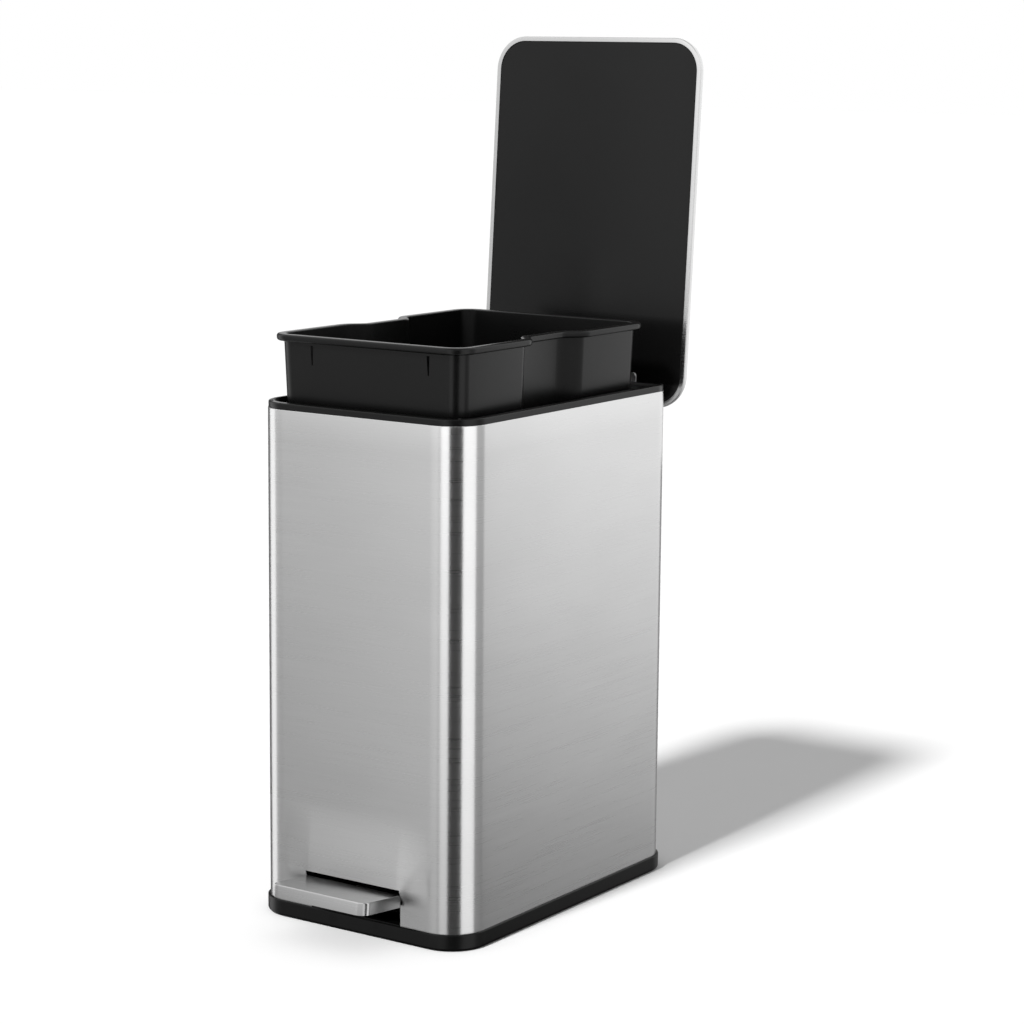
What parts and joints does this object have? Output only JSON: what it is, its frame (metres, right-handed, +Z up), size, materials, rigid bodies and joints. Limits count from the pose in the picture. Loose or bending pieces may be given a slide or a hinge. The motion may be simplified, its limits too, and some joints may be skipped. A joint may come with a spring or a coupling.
{
  "type": "step trash can",
  "caption": "Slim rectangular brushed-steel pedal bin with a rear-hinged lid, black plinth and collar, and a lift-out inner bucket.",
  "frame": {"origin": "centre of the flat underside, on the floor", "axes": "+Z up, +X to the right, -Y towards the user and the pedal"},
  "size_m": [0.202, 0.3826, 0.681],
  "materials": {
    "body_steel": "horizontally brushed stainless steel",
    "lid_steel": "brushed stainless steel with a bright folded edge",
    "pedal_steel": "satin stainless steel",
    "black_plastic": "black moulded plastic, fine satin",
    "lid_panel_black": "black satin plastic sheet",
    "bucket_plastic": "black moulded plastic, satin",
    "grey_plastic": "grey moulded plastic",
    "bright_metal": "bright drawn steel",
    "zinc_plate": "zinc-plated steel",
    "pad_rubber": "soft rubber"
  },
  "bodies": {
    "can": {"body_shell": "body_steel", "base": "black_plastic", "base_pads": "pad_rubber", "top_collar": "black_plastic", "hinge_pin": "bright_metal", "hinge_clips": "zinc_plate", "rear_channel": "black_plastic", "rod_guides": "grey_plastic", "damper_cylinder": "grey_plastic", "pedal_brackets": "black_plastic", "pedal_axle": "bright_metal", "pedal_stop_pad": "pad_rubber", "lid_bumpers": "pad_rubber", "base_screws": "zinc_plate"},
    "lid": {"lid_cover": "lid_steel", "lid_inner_panel": "lid_panel_black", "lid_hinge_bracket": "zinc_plate", "lid_bracket_screws": "zinc_plate"},
    "pedal": {"pedal_plate": "pedal_steel", "pedal_core": "black_plastic", "pedal_lever": "zinc_plate", "pedal_rivets": "bright_metal"},
    "push_rod_slide": {"push_rod": "bright_metal", "rod_head": "grey_plastic", "rod_foot": "grey_plastic", "damper_arm": "grey_plastic", "damper_piston": "bright_metal"},
    "inner_bucket": {"bucket": "bucket_plastic", "bucket_rim": "bucket_plastic"}
  },
  "joints": [
    {"name": "lid_hinge", "type": "hinge", "parent": "can", "child": "lid", "pos_m": [0, 0.1427, 0.3899], "axis": [1, 0, 0], "range_deg": [0, 94]},
    {"name": "pedal_hinge", "type": "hinge", "parent": "can", "child": "pedal", "pos_m": [0, -0.138, 0.026], "axis": [1, 0, 0], "range_deg": [-6.46, 0]},
    {"name": "rod_travel", "type": "slide", "parent": "can", "child": "push_rod_slide", "axis": [0, 0, 1], "range_m": [-0.02995, 0]},
    {"name": "bucket_lift", "type": "slide", "parent": "can", "child": "inner_bucket", "axis": [0, 0, 1], "range_m": [-0.05532, 0]}
  ],
  "couplings": [
    {"joint": "pedal_hinge", "follows": "lid_hinge", "ratio": -0.068617},
    {"joint": "rod_travel", "follows": "lid_hinge", "m_per_rad": -0.018243},
    {"joint": "bucket_lift", "follows": "lid_hinge", "m_per_rad": -0.033707}
  ]
}
